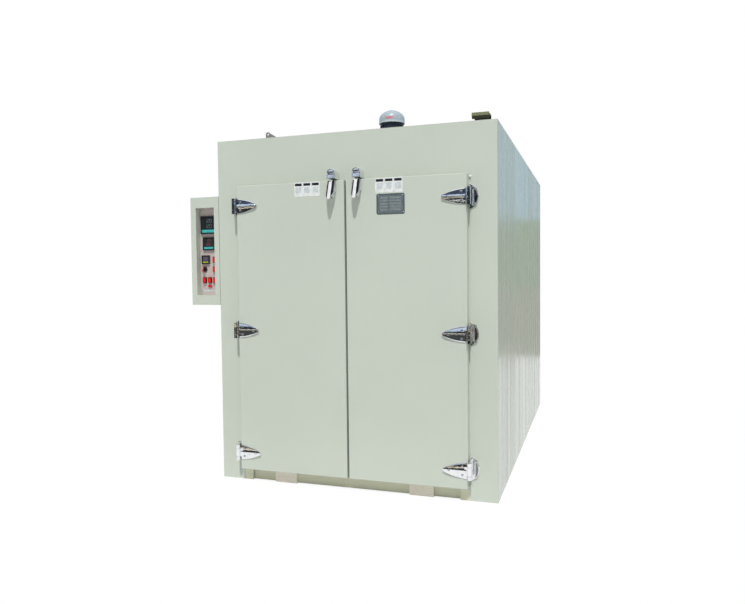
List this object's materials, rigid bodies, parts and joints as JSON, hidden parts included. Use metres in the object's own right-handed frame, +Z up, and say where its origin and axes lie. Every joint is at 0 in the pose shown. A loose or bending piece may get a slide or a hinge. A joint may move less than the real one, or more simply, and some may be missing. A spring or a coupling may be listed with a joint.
{
  "type": "walk-in drying oven",
  "caption": "Insulated industrial drying oven with two overlay doors on chrome hinges, pull latches, a side control box and a roof fan motor.",
  "frame": {"origin": "on the floor at the centre of the cabinet's footprint, without the control box", "axes": "+X to the right seen from the front, +Y from the doors to the back, +Z up"},
  "size_m": [1.653, 2.605, 2.075],
  "materials": {
    "cabinet_paint": "pale grey-green semi-gloss powder coat",
    "sill_paint": "olive grey paint, worn",
    "block_ceramic": "unglazed, warm white",
    "lining_steel": "aluminised sheet",
    "seal": "woven heat-proof seal",
    "chrome": "polished plating",
    "panel_sheet": "light warm grey, matt",
    "controller_plastic": "black, fine grain",
    "button_red": "translucent red caps in black frames",
    "knob_plastic": "black with a red cap",
    "motor_cast": "blue-grey enamel",
    "cowl_sheet": "blue-grey enamel, light",
    "dark_steel": "dark olive paint",
    "lug_steel": "grey primer"
  },
  "bodies": {
    "cabinet": {"left_wall": "cabinet_paint", "right_wall": "cabinet_paint", "back_wall": "cabinet_paint", "roof_slab": "cabinet_paint", "left_jamb": "cabinet_paint", "right_jamb": "cabinet_paint", "front_header": "cabinet_paint", "control_box": "cabinet_paint", "motor_plate": "cabinet_paint", "floor_slab": "lining_steel", "back_liner": "lining_steel", "ceiling_panel": "lining_steel", "left_air_duct": "lining_steel", "right_air_duct": "lining_steel", "left_hinge_brackets": "chrome", "right_hinge_brackets": "chrome", "left_latch_strike": "chrome", "right_latch_strike": "chrome", "sill_strip": "sill_paint", "threshold_blocks": "block_ceramic", "frame_seal": "seal", "control_panel": "panel_sheet", "large_controller": "controller_plastic", "medium_controller": "controller_plastic", "small_controller": "controller_plastic", "push_buttons": "button_red", "indicator_lamp": "button_red", "motor_frame": "motor_cast", "motor_cowl": "cowl_sheet", "motor_terminal_box": "motor_cast", "roof_bracket": "dark_steel", "lifting_lug": "lug_steel"},
    "left_door": {"left_door_leaf": "cabinet_paint", "left_door_plug": "lining_steel", "left_hinge_straps": "chrome", "left_latch_body": "chrome"},
    "right_door": {"right_door_leaf": "cabinet_paint", "right_door_plug": "lining_steel", "right_hinge_straps": "chrome", "right_latch_body": "chrome"},
    "left_lever": {"left_latch_lever": "chrome"},
    "right_lever": {"right_latch_lever": "chrome"},
    "selector": {"selector_knob": "knob_plastic"}
  },
  "joints": [
    {"name": "left_door_swing", "type": "hinge", "parent": "cabinet", "child": "left_door", "pos_m": [-0.614, -1.307, 0.802], "axis": [0, 0, -1], "range_deg": [0, 120]},
    {"name": "left_lever_pull", "type": "hinge", "parent": "left_door", "child": "left_lever", "pos_m": [-0.066, -1.309, 1.541], "axis": [-1, 0, 0], "range_deg": [0, 35]},
    {"name": "right_door_swing", "type": "hinge", "parent": "cabinet", "child": "right_door", "pos_m": [0.614, -1.307, 0.802], "axis": [0, 0, 1], "range_deg": [0, 120]},
    {"name": "right_lever_pull", "type": "hinge", "parent": "right_door", "child": "right_lever", "pos_m": [0.066, -1.309, 1.541], "axis": [-1, 0, 0], "range_deg": [0, 35]},
    {"name": "selector_turn", "type": "hinge", "parent": "cabinet", "child": "selector", "pos_m": [-0.8555, -1.21, 1.125], "axis": [0, 1, 0], "range_deg": [-45, 45]}
  ]
}
